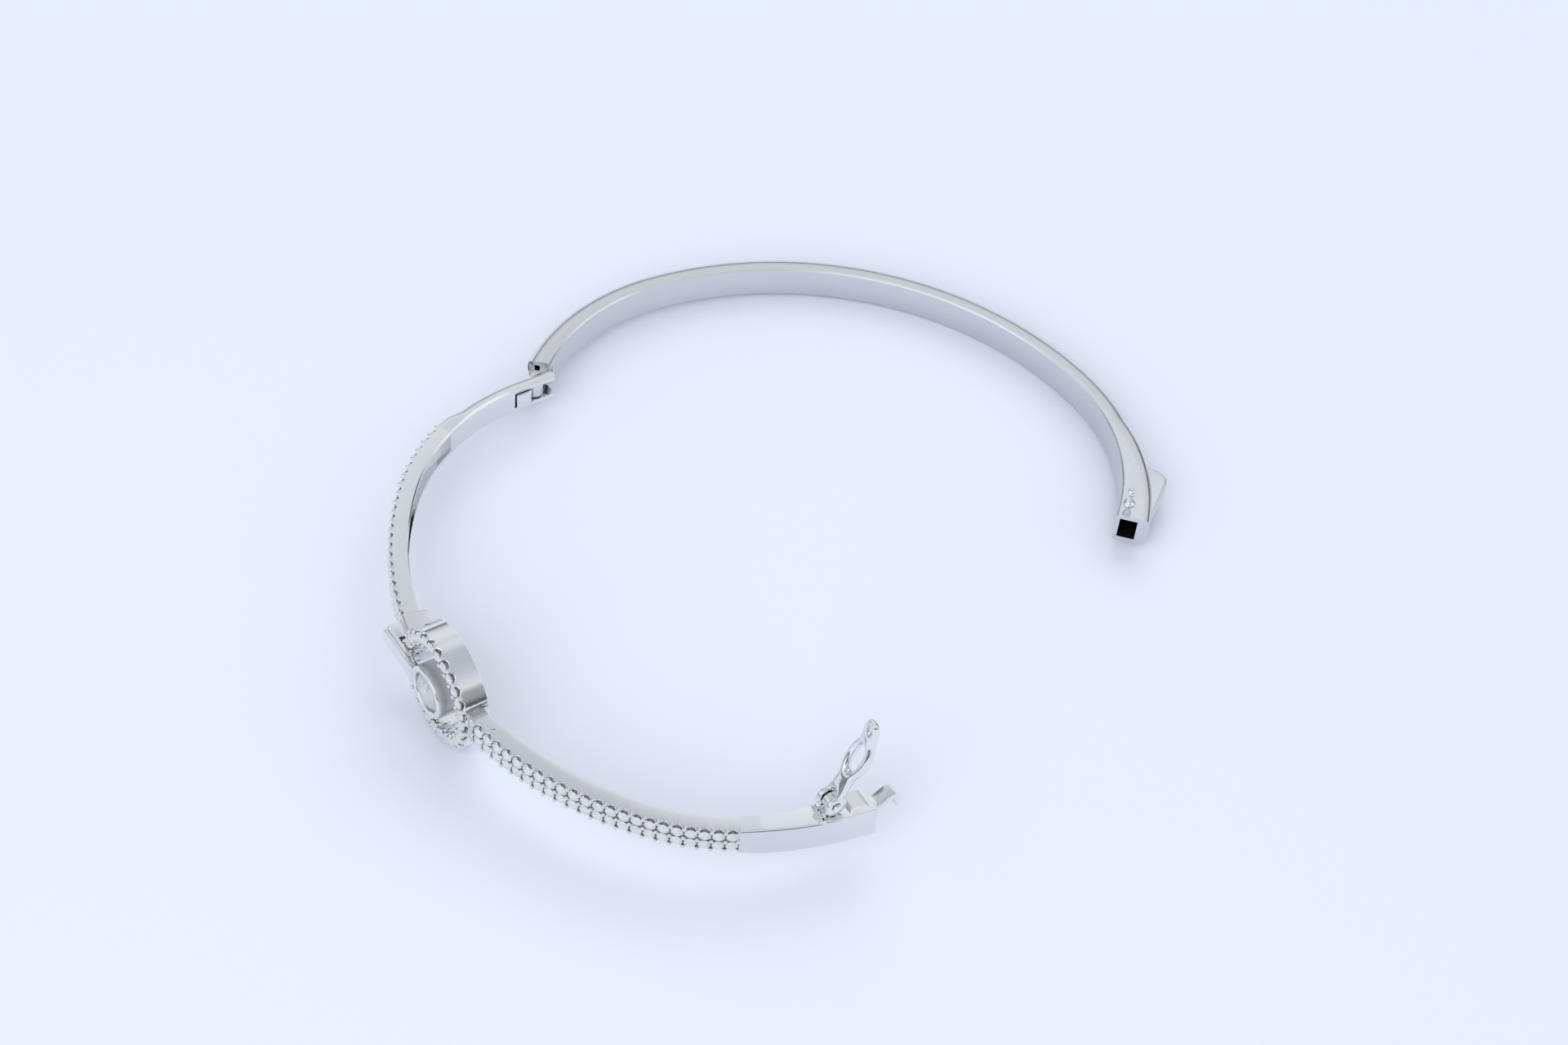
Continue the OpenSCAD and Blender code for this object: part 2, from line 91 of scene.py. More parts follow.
pin = in_mm(joints["main_hinge"]["pos_m"])
pivot = in_mm(joints["catch_pivot"]["pos_m"])
opened = math.radians(-joints["main_hinge"]["range_deg"][0])
raised = math.radians(-joints["catch_pivot"]["range_deg"][0])
BACK = ROW @ Matrix.Translation(pin) @ Matrix.Rotation(opened, 4, "Z") @ Matrix.Translation(-pin)
CATCH = ROW @ Matrix.Translation(pivot) @ Matrix.Rotation(raised, 4, "X")
EAR_Y = pin.y + EAR_UP
TO_FACE = Matrix.Rotation(math.pi / 2, 4, "X")
TO_SIDE = Matrix.Rotation(math.pi / 2, 4, "Y")


# ---- camera ----
LENS = 68.2
VIEW_UP, VIEW_AROUND, VIEW_ROLL = 46.11, 51.97, 7.06
SHIFT_RIGHT, SHIFT_UP, AWAY = 10.14, 6.24, 278.25


def camera():
    """The photo's view: angles in degrees and distances in mm from the bangle's middle."""
    view = bpy.data.cameras.new("camera")
    view.lens = LENS
    view.sensor_width = 36.0
    view.clip_start = 0.01
    view.clip_end = 20.0
    up, around, roll = (math.radians(a) for a in (VIEW_UP, VIEW_AROUND, VIEW_ROLL))
    back = Vector((math.sin(around) * math.cos(up), -math.cos(around) * math.cos(up), math.sin(up)))
    right = Vector((0, 0, 1)).cross(back).normalized()
    top = back.cross(right)
    right, top = (right * math.cos(roll) + top * math.sin(roll),
                  top * math.cos(roll) - right * math.sin(roll))
    place = ROW @ (right * SHIFT_RIGHT + top * SHIFT_UP + back * AWAY)
    turn = ROW.to_3x3().normalized() @ Matrix((right, top, back)).transposed()
    holder = bpy.data.objects.new("camera", view)
    holder.matrix_world = Matrix.Translation(place) @ turn.to_4x4()
    bpy.context.scene.collection.objects.link(holder)
    bpy.context.scene.camera = holder


camera()


# ---- materials ----
def nodes_of(name):
    material = bpy.data.materials.new(name)
    material.use_nodes = True
    tree = material.node_tree
    return material, tree, tree.nodes["Principled BSDF"]


def link(tree, a, out, b, into):
    tree.links.new(a.outputs[out], b.inputs[into])


def clouded(tree, shader, where, scale, stops):
    """A base colour that drifts between two tones with soft noise; each stop is (position, colour)."""
    clouds = tree.nodes.new("ShaderNodeTexNoise")
    clouds.inputs["Scale"].default_value = scale
    clouds.inputs["Detail"].default_value = 2.0
    link(tree, where, "Object", clouds, "Vector")
    ramp = tree.nodes.new("ShaderNodeValToRGB")
    for element, (at, colour) in zip(ramp.color_ramp.elements, stops):
        element.position = at
        element.color = list(colour) + [1]
    link(tree, clouds, "Fac", ramp, "Fac")
    link(tree, ramp, "Color", shader, "Base Color")


def metal(name, colour, low, high, grain, scale, stretch=(1, 1, 1), tint=0.03):
    """A polished or satin metal: fine streaks in its gloss, a faint surface ripple and a faint tint."""
    material, tree, shader = nodes_of(name)
    shader.inputs["Metallic"].default_value = 1.0
    where = tree.nodes.new("ShaderNodeTexCoord")
    mapping = tree.nodes.new("ShaderNodeMapping")
    mapping.inputs["Scale"].default_value = stretch
    link(tree, where, "Object", mapping, "Vector")
    streaks = tree.nodes.new("ShaderNodeTexNoise")
    streaks.inputs["Scale"].default_value = scale
    streaks.inputs["Detail"].default_value = 6.0
    link(tree, mapping, "Vector", streaks, "Vector")
    gloss = tree.nodes.new("ShaderNodeMapRange")
    gloss.inputs["From Min"].default_value = 0.3
    gloss.inputs["From Max"].default_value = 0.7
    gloss.inputs["To Min"].default_value = low
    gloss.inputs["To Max"].default_value = high
    link(tree, streaks, "Fac", gloss, "Value")
    link(tree, gloss, "Result", shader, "Roughness")
    clouded(tree, shader, where, 260.0, ((0.3, [c * (1 - tint) for c in colour]), (0.7, colour)))
    ripple = tree.nodes.new("ShaderNodeBump")
    ripple.inputs["Strength"].default_value = grain
    ripple.inputs["Distance"].default_value = 0.00004
    link(tree, streaks, "Fac", ripple, "Height")
    link(tree, ripple, "Normal", shader, "Normal")
    return material


def gem(name, colour, ior, clear):
    """A clear cut stone, with a faint change of tint through it."""
    material, tree, shader = nodes_of(name)
    shader.inputs["IOR"].default_value = ior
    shader.inputs["Transmission Weight"].default_value = clear
    shader.inputs["Roughness"].default_value = 0.0
    shader.inputs["Specular IOR Level"].default_value = 0.7
    where = tree.nodes.new("ShaderNodeTexCoord")
    clouded(tree, shader, where, 900.0, ((0.35, [c * 0.94 for c in colour]), (0.62, colour)))
    return material


SILVER = metal("silver_polished", (0.84, 0.845, 0.86), 0.04, 0.09, 0.06, 3000.0)
BRUSHED = metal("silver_band", (0.80, 0.805, 0.825), 0.10, 0.18, 0.10, 2500.0, (1, 1, 3))
SATIN = metal("silver_satin", (0.80, 0.80, 0.815), 0.22, 0.30, 0.12, 9000.0, (1, 1, 3))
MATT = metal("silver_matt", (0.68, 0.68, 0.675), 0.30, 0.38, 0.10, 9000.0)
FROST = metal("silver_frosted", (0.92, 0.92, 0.93), 0.42, 0.52, 0.3, 9000.0)
# a near-black silver that stands for shade: painted shade in the box's mouth, the leaf pocket and the heel's notch
PAINTED_SHADE = metal("silver_recess_painted_shade", (0.16, 0.15, 0.14), 0.35, 0.5, 0.3, 4000.0)
# the back half's silver, greyer than the front's band silver: the extra grey is painted shade, standing for the
# shaded floor that its faces mirror
SHADED_BACK_SILVER = metal("silver_back_painted_shade", (0.71, 0.715, 0.74), 0.12, 0.20, 0.10, 2500.0, (1, 1, 3))
PIN = metal("pin_wire", (0.88, 0.885, 0.90), 0.06, 0.12, 0.1, 4000.0)
STONE = gem("stone_small", (1.0, 1.0, 1.0), 2.0, 0.42)
CENTRE = gem("stone_centre", (0.99, 0.99, 1.0), 2.15, 0.6)


# ---- mesh tools: every shape is made in mm in the bangle's own axes ----
def solid(verts, faces, dissolve=True):
    """A mesh with its doubles merged, its slivers dissolved if asked, and its normals outwards."""
    bm = bmesh.new()
    made = [bm.verts.new(v) for v in verts]
    for face in faces:
        corners = [made[i] for i in face]
        if len(set(corners)) == len(corners):
            bm.faces.new(corners)
    bmesh.ops.remove_doubles(bm, verts=bm.verts, dist=1e-5)
    if dissolve:
        bmesh.ops.dissolve_degenerate(bm, edges=bm.edges, dist=1e-6)
    bmesh.ops.recalc_face_normals(bm, faces=bm.faces)
    return bm


def skin(rings, closed=False):
    """Faces between rings of equal count, with an end cap at each end unless the rings close."""
    n, m = len(rings[0]), len(rings)
    verts = [p for ring in rings for p in ring]
    faces = []
    for i in range(m if closed else m - 1):
        a, b = i * n, (i + 1) % m * n
        faces += [(a + k, a + (k + 1) % n, b + (k + 1) % n, b + k) for k in range(n)]
    if not closed:
        faces += [tuple(range(n)), tuple((m - 1) * n + k for k in range(n))]
    return solid(verts, faces)


def prism(points, low, high, axis="z"):
    """A flat outline pushed along an axis."""
    def put(a, b, c):
        return {"z": (a, b, c), "x": (c, a, b), "y": (a, c, b)}[axis]
    return skin([[put(a, b, c) for a, b in points] for c in (low, high)])


def brick(low, high):
    (x0, y0, z0), (x1, y1, z1) = low, high
    return prism([(x0, y0), (x1, y0), (x1, y1), (x0, y1)], z0, z1)


def polar(r, a, h):
    return r * math.cos(a), r * math.sin(a), h


def lathe(outline, steps):
    """An open outline of (radius, height) turned about Z; ends on the axis close it."""
    n = len(outline)
    verts = [polar(r, 2 * math.pi * i / steps, h) for i in range(steps) for r, h in outline]
    faces = [(i * n + k, (i + 1) % steps * n + k, (i + 1) % steps * n + k + 1, i * n + k + 1)
             for i in range(steps) for k in range(n - 1)]
    return solid(verts, faces, dissolve=False)


def rod(low, high, r, steps):
    """A round bar or drill along Z."""
    return lathe([(0, low), (r, low), (r, high), (0, high)], steps)


def arc(cx, cy, r, a0, a1, n):
    """Points of an arc between two angles in degrees."""
    return [(cx + r * math.cos(math.radians(a0 + (a1 - a0) * i / n)),
             cy + r * math.sin(math.radians(a0 + (a1 - a0) * i / n))) for i in range(n + 1)]


def placed(bm, matrix):
    bmesh.ops.transform(bm, matrix=matrix, verts=bm.verts)
    return bm


def merged(parts):
    """Several shapes in one mesh; the parts are used up."""
    out = bmesh.new()
    for part in parts:
        held = bpy.data.meshes.new("part")
        part.to_mesh(held)
        out.from_mesh(held)
        bpy.data.meshes.remove(held)
        part.free()
    return out


def copies(bm, matrices):
    """A shape repeated at each matrix; the shape is used up."""
    held = bpy.data.meshes.new("part")
    bm.to_mesh(held)
    bm.free()
    out = bmesh.new()
    for matrix in matrices:
        before = len(out.verts)
        out.from_mesh(held)
        out.verts.ensure_lookup_table()
        bmesh.ops.transform(out, matrix=matrix, verts=out.verts[before:])
    bpy.data.meshes.remove(held)
    return out


def softened(bm, width, segments=2, over=30.0):
    """Bevels the edges whose faces meet at more than over degrees."""
    edges = [e for e in bm.edges if len(e.link_faces) == 2 and e.calc_face_angle(0) > math.radians(over)]
    bmesh.ops.bevel(bm, geom=edges, offset=width, segments=segments, profile=0.6,
                    affect="EDGES", clamp_overlap=True)
    return bm


def as_object(bm):
    """A temporary object, so that modifiers can work on the shape."""
    held = bpy.data.meshes.new("shape")
    bm.to_mesh(held)
    bm.free()
    holder = bpy.data.objects.new("shape", held)
    bpy.context.scene.collection.objects.link(holder)
    return holder


def applied(holder, tools=()):
    """The shape after its modifiers; the temporary objects go."""
    graph = bpy.context.evaluated_depsgraph_get()
    result = bpy.data.meshes.new_from_object(holder.evaluated_get(graph))
    out = bmesh.new()
    out.from_mesh(result)
    bpy.data.meshes.remove(result)
    for part in (holder, *tools):
        held = part.data
        bpy.data.objects.remove(part)
        bpy.data.meshes.remove(held)
    return out


def rounded(bm, levels):
    """Catmull-Clark rounding of a cage."""
    holder = as_object(bm)
    step = holder.modifiers.new("round", "SUBSURF")
    step.levels = step.render_levels = levels
    return applied(holder)


def cut(bm, cutters):
    """Takes the cutters away from a shape; all of them are used up."""
    for part in (bm, *cutters):
        bmesh.ops.recalc_face_normals(part, faces=part.faces)
    holder, *tools = [as_object(part) for part in (bm, *cutters)]
    for tool in tools:
        step = holder.modifiers.new("cut", "BOOLEAN")
        step.object = tool
        step.operation = "DIFFERENCE"
        step.solver = "EXACT"
    return applied(holder, tools)


def piece(name, bm, matrix, body, materials, nodes=(), sharp=35.0, pick=None,
          flat=False):
    """Turns a shape in mm into a finished piece that rides on its body."""
    if not isinstance(materials, (list, tuple)):
        materials = [materials]
    if pick:
        for face in bm.faces:
            face.material_index = pick(face)
    for edge in bm.edges:
        edge.smooth = not (len(edge.link_faces) == 2 and edge.calc_face_angle(0) > math.radians(sharp))
    for face in bm.faces:
        face.smooth = not flat
    bmesh.ops.transform(bm, matrix=matrix, verts=bm.verts)
    bmesh.ops.recalc_face_normals(bm, faces=bm.faces)
    mesh = bpy.data.meshes.new(name)
    bm.to_mesh(mesh)
    bm.free()
    for material in materials:
        mesh.materials.append(material)
    made = bpy.data.objects.new(name, mesh)
    bpy.context.scene.collection.objects.link(made)
    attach(made, body)
    if nodes:
        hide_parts(*nodes)
    return made


# ---- the oval ----
def oval(s):
    """Inner point and outward direction at length s along the front's outer face, from its middle."""
    side = 1 if s >= 0 else -1
    s = abs(s)
    if s <= S_TURN:
        a = s / RO_SIDE
        point, out = (R_SIDE * math.sin(a), CY - R_SIDE * math.cos(a)), (math.sin(a), -math.cos(a))
    elif s <= S_SIDE:
        a = TURN + (s - S_TURN) / RO_END
        point, out = (CX + R_END * math.sin(a), -R_END * math.cos(a)), (math.sin(a), -math.cos(a))
    else:
        point, out = (HA, s - S_SIDE), (1.0, 0.0)
    return (side * point[0], point[1]), (side * out[0], out[1])


def ring_at(s, profile, back=False):
    (x, y), (u, v) = oval(s)
    if back:
        y, v = SIDE_L - y, -v
    return [(x + u * o, y + v * o, z) for o, z in profile]


def thickness(s, share, base, t):
    """Thickness of the band at s where it swells from base to t over the last share degrees."""
    g = math.radians(share)
    k = (t - base) * (2 * R_END + t + base) / (2 * (R_END + base - (R_END + t) * math.cos(g)))
    cx, cy, r = CX - k * math.cos(g), k * math.sin(g), R_END + base + k
    (x, y), (u, v) = oval(abs(s))
    b = (x - cx) * u + (y - cy) * v
    c = (x - cx) ** 2 + (y - cy) ** 2 - r * r
    return -b + math.sqrt(max(b * b - c, 0.0))


def round_profile(t, w, power=2.0, chamfer=0.14, n=26):
    """Flat inside and round outside; a higher power squares it up."""
    points = [(0.0, -w / 2 + chamfer)]
    for i in range(n + 1):
        a = -math.pi / 2 + math.pi * i / n
        o = t * abs(math.cos(a)) ** (2 / power)
        z = w / 2 * math.copysign(abs(math.sin(a)) ** (2 / power), a) if abs(a) > 1e-9 else 0.0
        points.append((max(o, chamfer * 0.8), z if o > chamfer * 0.8 else math.copysign(w / 2 - 0.02, a)))
    points.append((0.0, w / 2 - chamfer))
    return points


def slope_profile(t, w, f, edge=0.12):
    h, q = w / 2, f / 2
    return [(0, -h + edge), (edge, -h), (0.5, -h), (t - edge, -q - edge * 0.15), (t, -q + edge),
            (t, q - edge), (t - edge, q + edge * 0.15), (0.5, h), (edge, h), (0, h - edge)]


def spread(a, b, step):
    """Even values from a to b, about a step apart."""
    n = max(2, int(round(abs(b - a) / step)))
    return [a + (b - a) * i / n for i in range(n + 1)]


def on_face(s, out=0.0, z=0.0):
    """A matrix on the outer face at s: its Z points outwards and its X runs along the band."""
    (x, y), (u, v) = oval(s)
    o = BAND_T + out
    zed = Vector((u, v, 0))
    wide = Vector((0, 0, 1))
    along = wide.cross(zed)
    place = Vector((x + u * o, y + v * o, z))
    return Matrix.Translation(place) @ Matrix((along, wide, zed)).transposed().to_4x4()


# ---- stones and beads ----
def brilliant(d, table=0.56, crown=0.15, girdle=0.025, depth=0.42):
    """A round brilliant with its girdle's top at z = 0 and its table up."""
    r = d / 2
    ring = [[], [], [], []]
    for i in range(8):
        a = math.pi / 4 * i
        ring[0].append(polar(r * table, a, d * crown))
        ring[1].append(polar(r * ((1 + table) / 2 * 1.02), a + math.pi / 8, d * crown * 0.52))
    for i in range(16):
        a = math.pi / 8 * i
        ring[2].append(polar(r, a, 0.0))
        ring[3].append(polar(r, a, -d * girdle))
    low = [polar(r * 0.3, math.pi / 4 * i, -d * (girdle + depth * 0.75)) for i in range(8)]
    verts = ring[0] + ring[1] + ring[2] + ring[3] + low + [(0, 0, -d * (girdle + depth))]
    t, m, g, h, p, tip = 0, 8, 16, 32, 48, 56
    faces = [tuple(range(8))]
    for i in range(8):
        j = (i + 1) % 8
        faces.append((t + i, m + i, t + j))
        faces.append((t + j, m + i, g + 2 * j, m + j))
        faces.append((m + i, g + 2 * i, g + 2 * i + 1))
        faces.append((m + i, g + 2 * i + 1, g + (2 * i + 2) % 16))
        faces.append((h + 2 * i, h + 2 * i + 1, p + i))
        faces.append((h + 2 * i + 1, h + (2 * i + 2) % 16, p + j))
        faces.append((h + 2 * i + 1, p + j, p + i))
        faces.append((p + i, p + j, tip))
    for i in range(16):
        j = (i + 1) % 16
        faces.append((g + i, g + j, h + j, h + i))
    return solid(verts, faces)


def bead(r, up, root):
    """A claw: a tapered post with a rounded head."""
    outline = [(0.0, -root), (r * 1.25, -root), (r * 1.12, -root * 0.4), (r, 0.0)]
    for i in range(1, 6):
        a = math.pi / 2 * i / 5
        outline.append((r * math.cos(a), up * math.sin(a)))
    outline[-1] = (0.0, up)
    return lathe(outline, 12)


CLAW_ROOT, CLAW_IN, STONE_SINK, STONE_TWIST = 0.34, 0.16, -0.06, 11.0


def claw_rows(s0, n, side):
    """Claws along both rails and between the rows, at every pitch of an arm."""
    spots = []
    for i in range(n + 1):
        for z in (-1, 0, 1):
            if z == 0 and i in (0, n):
                continue
            spots.append(on_face(side * (s0 + i * PITCH), 0.0, z * (FACE_W / 2 - CLAW_IN)))
    return copies(bead(0.2, 0.15, CLAW_ROOT), spots)


def stone_row(s0, n, side, z):
    """One row of stones, each turned a little differently in its seat."""
    spots = []
    for i in range(n):
        tilt = Matrix.Rotation(math.radians(STONE_TWIST * (i % 4) + 4.0), 4, "Z")
        spots.append(on_face(side * (s0 + (i + 0.5) * PITCH), STONE_SINK, z) @ tilt)
    return copies(brilliant(STONE_D), spots)


def pave_arm(s0, n, side):
    """A stone channel whose rails dip beside every stone, over an open gallery."""
    rings = []
    hw, hf, wall, rail, scoop, inside = BAND_W / 2, FACE_W / 2, 0.45, 0.26, 0.34, 0.75
    for s in spread(s0, s0 + n * PITCH, PITCH / 10):
        f = (s - s0) / PITCH
        dip = scoop * abs(math.sin(math.pi * f)) ** 1.5
        top = BAND_T - 0.02 - dip
        q = hf + (hw - hf) * (BAND_T - top) / (BAND_T - 0.5)
        e = 0.05
        half = [(0, hw - wall), (0, hw - 0.10), (0.10, hw), (0.5, hw), (top - e, q + 0.01), (top, q - e),
                (top, hf - rail + e), (top - e * 0.6, hf - rail), (BAND_T - GROOVE, hf - rail)]
        up = half + [(BAND_T - GROOVE, -(hf - rail))]
        down = [(o, -z) for o, z in reversed(half[:-1])]
        inner = [(inside, -(hw - wall)), (inside, hw - wall)]
        rings.append(ring_at(side * s, up + down + inner))
    return skin(rings)


# ---- front half ----
def front_half():
    """The hinge end, the stone-set arms and the connectors beside the halo."""
    # hinge end: the arm's profile turns into a round-backed band, with two ears and the leaf's slot
    rings, change = [], 3.5
    for s in spread(E_A, S_SIDE + EAR_Y, 0.3):
        f = min(1.0, (s - E_A) / change)
        f = f * f * (3 - 2 * f)
        rings.append(ring_at(-s, round_profile(BAND_T, BAND_W + 0.2 * f, 7.0 - 4.8 * f, 0.12 + 0.14 * f)))
    corner = [(pin.x - 3, pin.y), (pin.x - EAR_UP, pin.y)]
    corner += arc(pin.x, pin.y, EAR_UP, 180, 90, 14)[1:]
    corner += [(pin.x, pin.y + 3), (pin.x - 3, pin.y + 3)]
    slot_half = LEAF_H / 2 + 0.1
    slot_low = (pin.x - 3, pin.y - EYE_R - 0.1, -slot_half)
    slot_high = (pin.x + 3, pin.y + 5, slot_half)
    window = brick((-HA - 0.5, -0.9, -0.95), (-HA + 0.5, pin.y - EYE_R + 0.2, 0.95))
    end = cut(skin(rings), [prism(corner, -5, 5), brick(slot_low, slot_high), window])
    piece("hinge_end_shell", end, ROW, "front_half", BRUSHED, ["hinge_end", "hinge_ears"], sharp=28)
    plate = [(-HA - 0.55, -0.8), (-HA - 0.55, 0.75), (-HA + 0.1, 0.95), (-HA + 0.3, 0.55),
             (-HA + 0.34, -0.1), (-HA + 0.24, -0.75)]
    piece("hinge_stop_plate", softened(prism(plate, -PLATE_HALF, PLATE_HALF), 0.07), ROW,
          "front_half", BRUSHED)

    # stone-set arms
    arms = (("a", S_A, N_A, -1), ("b", S_B, N_B, 1))
    for arm, s0, n, side in arms:
        piece("pave_channel_" + arm, pave_arm(s0, n, side), ROW, "front_half", SILVER,
              ["pave_arm_" + arm, "pave_bend_" + arm], sharp=40)
    for arm, s0, n, side in arms:
        piece("claws_" + arm, claw_rows(s0, n, side), ROW, "front_half", SILVER, ["prongs_" + arm], sharp=60)
    for arm, s0, n, side in arms:
        for row, z in (("upper", ROW_Z), ("lower", -ROW_Z)):
            piece("brilliants_%s_%s" % (arm, row), stone_row(s0, n, side, z), ROW, "front_half", STONE,
                  ["stones_%s_%s" % (arm, row)], flat=True)

    # connectors beside the halo
    square = [(-0.7, -1.72), (BAND_T + 0.05, -1.66), (BAND_T + 0.05, 1.7), (-0.7, 1.76)]
    block = softened(skin([ring_at(-s, square) for s in spread(CONNECT, S_A + 0.05, 0.4)]), 0.28, 4, 50)
    block = cut(block, [placed(rod(0, FAR, HALO_R - 0.04, 96), TO_FACE)])

    def top_satin(face):
        return 1 if face.normal.z > 0.93 else 0
    piece("connector_block_a", block, ROW, "front_half", [SILVER, SATIN], ["connector_a"], pick=top_satin)
    hole = placed(rod(0, FAR, HALO_R - 0.04, 96), TO_FACE)
    rings = [ring_at(s, slope_profile(BAND_T, BAND_W, FACE_W)) for s in spread(CONNECT, S_B, 0.2)]
    x, y = oval(S_B + 1.7)[0]
    rim = [(0.17 + a, b) for a, b in arc(0, 0, 0.07, 180, -20, 8)]
    bead_ring = placed(lathe([(0.0, -0.1), (0.1, -0.06)] + rim, 24),
                       Matrix.Translation((x + 0.05, y - 0.8, BAND_W / 2 + 0.02)))
    piece("connector_block_b", cut(skin(rings), [hole]), ROW, "front_half", SILVER, ["connector_b"])
    piece("top_bead", bead_ring, ROW, "front_half", SILVER)


def halo():
    """A mirror-bright ring whose front edge dips under every stone."""
    count = int(2 * math.pi * (HALO_R - HALO_BAND / 2) / (STONE_D + 0.03))
    inner = HALO_R - HALO_BAND
    rings = []
    rings_per_stone, scoop, claw_in = 16, 0.36, 0.17
    for i in range(count * rings_per_stone):
        f = i / rings_per_stone
        a = 2 * math.pi * f / count
        dip = scoop * abs(math.sin(math.pi * f)) ** 1.5
        lip = 0.04 + dip
        low = 0.04 + dip * 0.6
        outline = [(HALO_R - 0.12, HALO_H), (HALO_R, HALO_H - 0.12), (HALO_R, HALO_H * 0.5),
                   (HALO_R, lip + 0.06), (HALO_R - 0.05, lip), (HALO_R - 0.24, lip),
                   (HALO_R - 0.28, lip + 0.05), (HALO_R - 0.30, GROOVE + 0.1),
                   (inner + 0.26, GROOVE + 0.1), (inner + 0.24, low + 0.05), (inner + 0.2, low),
                   (inner + 0.05, low), (inner, low + 0.06), (inner, HALO_H * 0.5),
                   (inner, HALO_H - 0.1), (inner + 0.1, HALO_H)]
        rings.append([(r * math.sin(a), -HALO_FACE + h, r * math.cos(a)) for r, h in outline])
    piece("halo_shell", skin(rings, closed=True), ROW, "front_half", SILVER, ["halo_ring"], sharp=40)

    def at(angle, r, out, twist=0.0):
        """A matrix on the halo's front face: its Z points outwards."""
        turn = Matrix.Rotation(angle, 4, "Y")
        return (turn @ Matrix.Translation((0, -HALO_FACE - out, r)) @ TO_FACE
                @ Matrix.Rotation(twist, 4, "Z"))
    step = 2 * math.pi / count
    mid = HALO_R - HALO_BAND / 2
    stones = [at((i + 0.5) * step, mid, -0.04, 0.3 * (i % 5)) for i in range(count)]
    piece("halo_brilliants", copies(brilliant(STONE_D), stones), ROW, "front_half", STONE, ["halo_stones"],
          flat=True)
    claws = [at(i * step, r, 0.02) for i in range(count) for r in (inner + claw_in, HALO_R - claw_in - 0.01)]
    piece("halo_claws", copies(bead(0.21, 0.16, CLAW_ROOT), claws), ROW, "front_half", SILVER,
          ["halo_prongs"], sharp=60)


def centre_setting():
    """A deep cup with a smooth rim, the bar that carries it and the centre stone."""
    r, wall = CENTRE_D / 2, CUP_WALL
    outline = [(r * 0.5, -CUP_H), (r + wall - 0.25, -CUP_H), (r + wall - 0.1, -CUP_H + 0.1),
               (r + wall, -CUP_H + 0.35), (r + wall, -0.3), (r + wall - 0.03, -0.12), (r + wall - 0.1, -0.03),
               (r + wall - 0.2, 0.0), (r + 0.1, 0.0), (r + 0.01, -0.04), (r - 0.05, -0.12), (r - 0.07, -0.38),
               (r + 0.01, -0.42), (r + 0.01, -0.5), (r * 0.55, -1.75), (r * 0.5, -1.8), (r * 0.5, -CUP_H)]
    stand = Matrix.Translation((0, -CUP_FACE, 0)) @ TO_FACE

    def wall_satin(face):
        n = face.normal
        return 1 if abs(n.z) < 0.5 and face.calc_center_median().z < -0.15 else 0
    piece("cup_shell", lathe(outline, 96), ROW @ stand, "front_half", [SILVER, MATT], ["cup"], sharp=40,
          pick=wall_satin)
    stone = placed(brilliant(CENTRE_D - 0.02, 0.57, 0.145, 0.02, 0.42), Matrix.Rotation(0.2, 4, "Z"))
    piece("centre_brilliant", stone, ROW @ Matrix.Translation((0, -CUP_FACE + 0.42, 0)) @ TO_FACE,
          "front_half", CENTRE, ["centre_stone"], flat=True)

    # the bar: a stepped beam that flares into the cup, over the stones
    rings = []
    for x in spread(-S_A + 0.05, -S_A + 0.75, 0.07)[:-1] + spread(-S_A + 0.75, -2.2, 0.2):
        f = (x + S_A) / (S_A - 2.2)
        half = BAR_W / 2 + 0.30 * max(0.0, (f - 0.55) / 0.45) ** 2
        tip = 0.62 + 0.38 * math.sqrt(1 - (1 - min(1.0, (x + S_A - 0.05) / 0.7)) ** 2)
        half *= tip
        y0, y1, y2 = -CUP_FACE + 0.03, -CUP_FACE + 0.34, -CUP_FACE + 0.66
        step_in = 0.16
        low = [(x, y2, -half), (x, y1, -half), (x, y1 - 0.03, -half + step_in),
               (x, y0 + 0.06, -half + step_in), (x, y0, -half + step_in + 0.07)]
        rings.append(low + [(a, b, -c) for a, b, c in reversed(low)])
    beam = cut(skin(rings), [placed(rod(0, FAR, CENTRE_D / 2 + CUP_WALL - 0.05, 96), TO_FACE)])
    (_, y), (_, v) = oval(-(S_A - 1.0))
    half = BAR_W / 2 - 0.02
    foot = softened(brick((-S_A + 0.05, -CUP_FACE + 0.4, -half), (-HALO_R - 0.35, y + v * 1.2, half)), 0.1)
    piece("cup_beam", merged([beam, foot]), ROW, "front_half", SILVER, ["cup_bar"], sharp=40)


